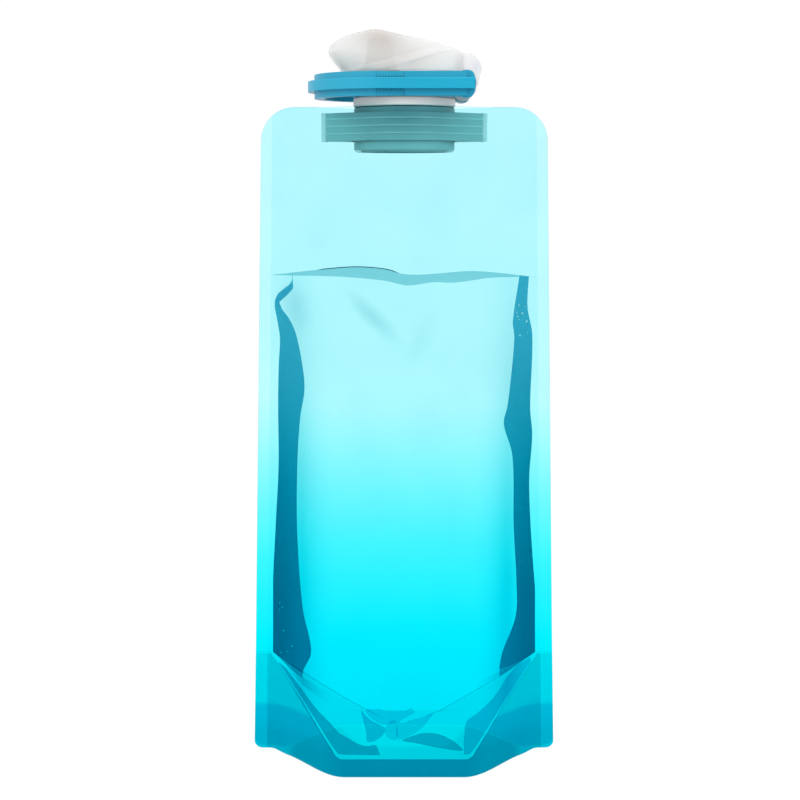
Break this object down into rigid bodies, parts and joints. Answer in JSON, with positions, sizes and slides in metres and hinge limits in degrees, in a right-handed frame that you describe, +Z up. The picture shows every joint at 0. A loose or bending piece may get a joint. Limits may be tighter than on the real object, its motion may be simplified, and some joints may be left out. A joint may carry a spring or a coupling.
{
  "type": "folding water bottle",
  "caption": "Stand-up film pouch bottle with welded spout, screw cap, carry ring and flip-top lid; rolls up flat when empty.",
  "frame": {"origin": "centre of the standing foot, on the surface the bottle stands on", "axes": "+Z up along the neck axis, -Y the front panel, +X the side with the lid's hinge"},
  "size_m": [0.1124, 0.0464, 0.2626],
  "materials": {
    "film": "clear laminated film, printed from pale aqua at the top to deep cyan at the foot",
    "gusset": "clear laminated film, deep cyan",
    "fitment": "moulded natural polyethylene",
    "silicone": "soft matt silicone",
    "cap": "moulded white polypropylene",
    "ring": "moulded blue polypropylene, satin",
    "pin": "drawn steel",
    "lid": "translucent natural polypropylene"
  },
  "bodies": {
    "pouch": {"front_film": "film", "back_film": "film", "gusset_film": "gusset", "spout_fitment": "fitment"},
    "seal": {"neck_gasket": "silicone"},
    "cap": {"screw_cap": "cap", "mouthpiece": "silicone", "carry_ring": "ring", "hinge_pin": "pin"},
    "lid": {"flip_lid": "lid", "lid_plug": "silicone"}
  },
  "joints": [
    {"name": "cap_rise", "type": "slide", "parent": "pouch", "child": "seal", "axis": [0, 0, 1], "range_m": [0, 0.00501]},
    {"name": "cap_unscrew", "type": "hinge", "parent": "seal", "child": "cap", "pos_m": [0, 0, 0.2405], "axis": [0, 0, 1], "range_deg": [0, 450]},
    {"name": "lid_hinge", "type": "hinge", "parent": "cap", "child": "lid", "pos_m": [0.0205, 0, 0.24345], "axis": [0, 1, 0], "range_deg": [0, 100]}
  ],
  "couplings": [
    {"joint": "cap_rise", "follows": "cap_unscrew", "m_per_rad": 0.00063662}
  ]
}
